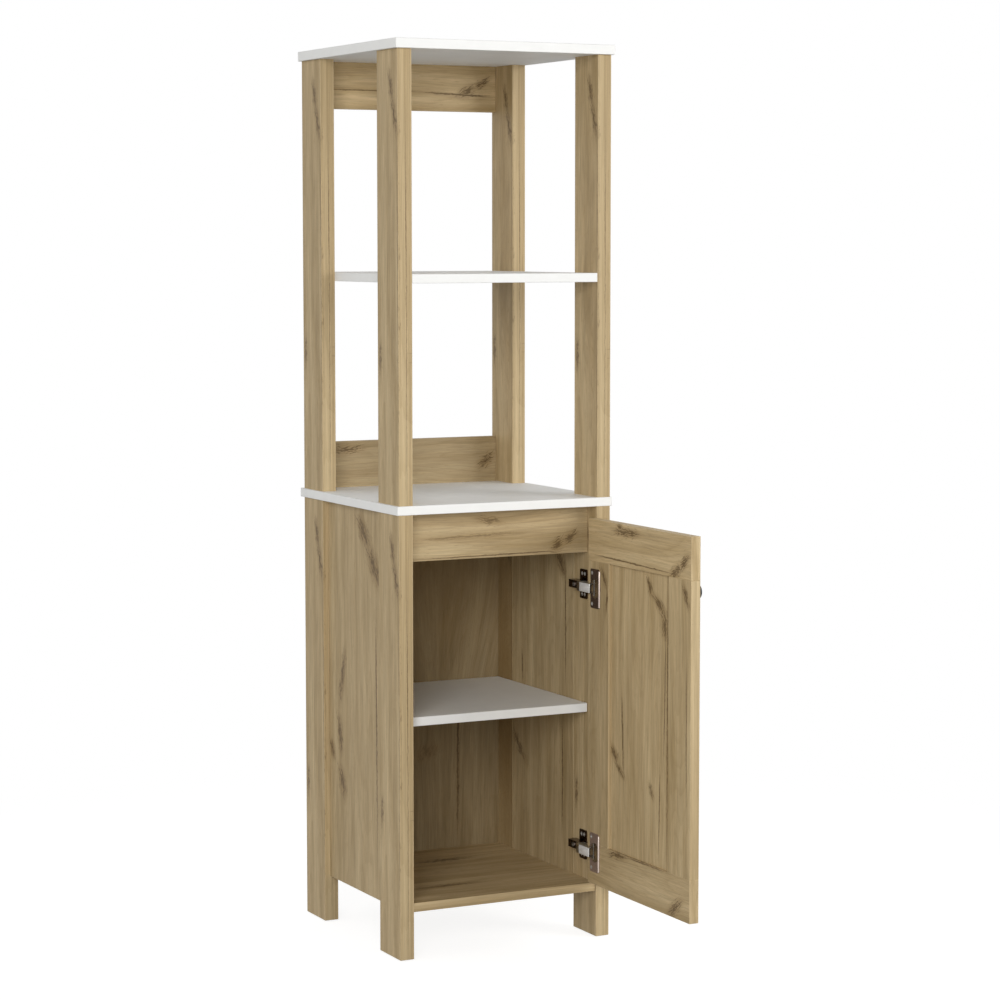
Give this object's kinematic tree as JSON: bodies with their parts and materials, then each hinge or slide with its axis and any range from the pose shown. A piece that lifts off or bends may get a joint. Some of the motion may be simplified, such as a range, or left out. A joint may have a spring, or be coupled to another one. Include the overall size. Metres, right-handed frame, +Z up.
{
  "type": "bathroom cabinet",
  "caption": "Tall narrow bathroom cabinet: hinged-door cupboard with an inner shelf below a white counter, open bay with a shelf and white top above.",
  "frame": {"origin": "on the floor under the middle of the whole object in the rest pose, midway between the free edge of the open door and the rear edge of the counter; the cabinet itself stands 164 mm behind it", "axes": "+Z up, -Y towards the front of the cabinet, +X to the right seen from the front"},
  "size_m": [0.4, 0.738, 1.5],
  "materials": {
    "oak_board": "light oak, matt, open grain with dark knots and cracks",
    "white_board": "white lacquered board, smooth satin",
    "beech_dowel": "bare fluted beech",
    "bronzed_steel": "dark bronze plated steel",
    "nickel_steel": "nickel plated steel",
    "zinc_steel": "zinc plated steel",
    "black_knob": "matt black powder coat",
    "glide_plastic": "grey polyethylene"
  },
  "bodies": {
    "carcass": {"leg_front_left": "oak_board", "leg_front_right": "oak_board", "leg_back_left": "oak_board", "leg_back_right": "oak_board", "glides": "glide_plastic", "side_panel_left": "oak_board", "side_panel_right": "oak_board", "back_panel": "oak_board", "bottom_panel": "oak_board", "front_rail": "oak_board", "inner_shelf": "white_board", "shelf_pegs": "nickel_steel", "counter_top": "white_board", "post_front_left": "oak_board", "post_front_right": "oak_board", "post_back_left": "oak_board", "post_back_right": "oak_board", "open_shelf": "white_board", "upper_back_rail": "oak_board", "lower_back_rail": "oak_board", "top_panel": "white_board", "frame_dowels": "beech_dowel", "counter_dowels": "beech_dowel", "top_dowels": "beech_dowel", "cam_locks": "zinc_steel", "cam_bolts": "zinc_steel", "hinge_plate_upper": "bronzed_steel", "hinge_plate_lower": "bronzed_steel", "plate_screws": "nickel_steel", "hinge_arm_upper": "bronzed_steel", "hinge_arm_lower": "bronzed_steel", "arm_screws": "zinc_steel"},
    "door": {"door_rail_top": "oak_board", "door_rail_bottom": "oak_board", "door_stile_hinge": "oak_board", "door_stile_free": "oak_board", "door_panel": "oak_board", "door_dowels": "beech_dowel", "knob": "black_knob", "knob_stud": "zinc_steel", "hinge_cup_upper": "bronzed_steel", "hinge_cup_lower": "bronzed_steel", "cup_screws": "nickel_steel", "hinge_pins": "zinc_steel"},
    "links": {"hinge_link_upper": "nickel_steel", "hinge_link_lower": "nickel_steel"}
  },
  "joints": [
    {"name": "door_swing", "type": "hinge", "parent": "carcass", "child": "door", "pos_m": [0.17, -0.031, 0.4], "axis": [0, 0, 1], "range_deg": [-90, 10]},
    {"name": "link_swing", "type": "hinge", "parent": "door", "child": "links", "pos_m": [0.157, -0.046, 0.4], "axis": [0, 0, 1], "range_deg": [-10, 90]}
  ],
  "couplings": [
    {"joint": "link_swing", "follows": "door_swing", "ratio": -1}
  ]
}
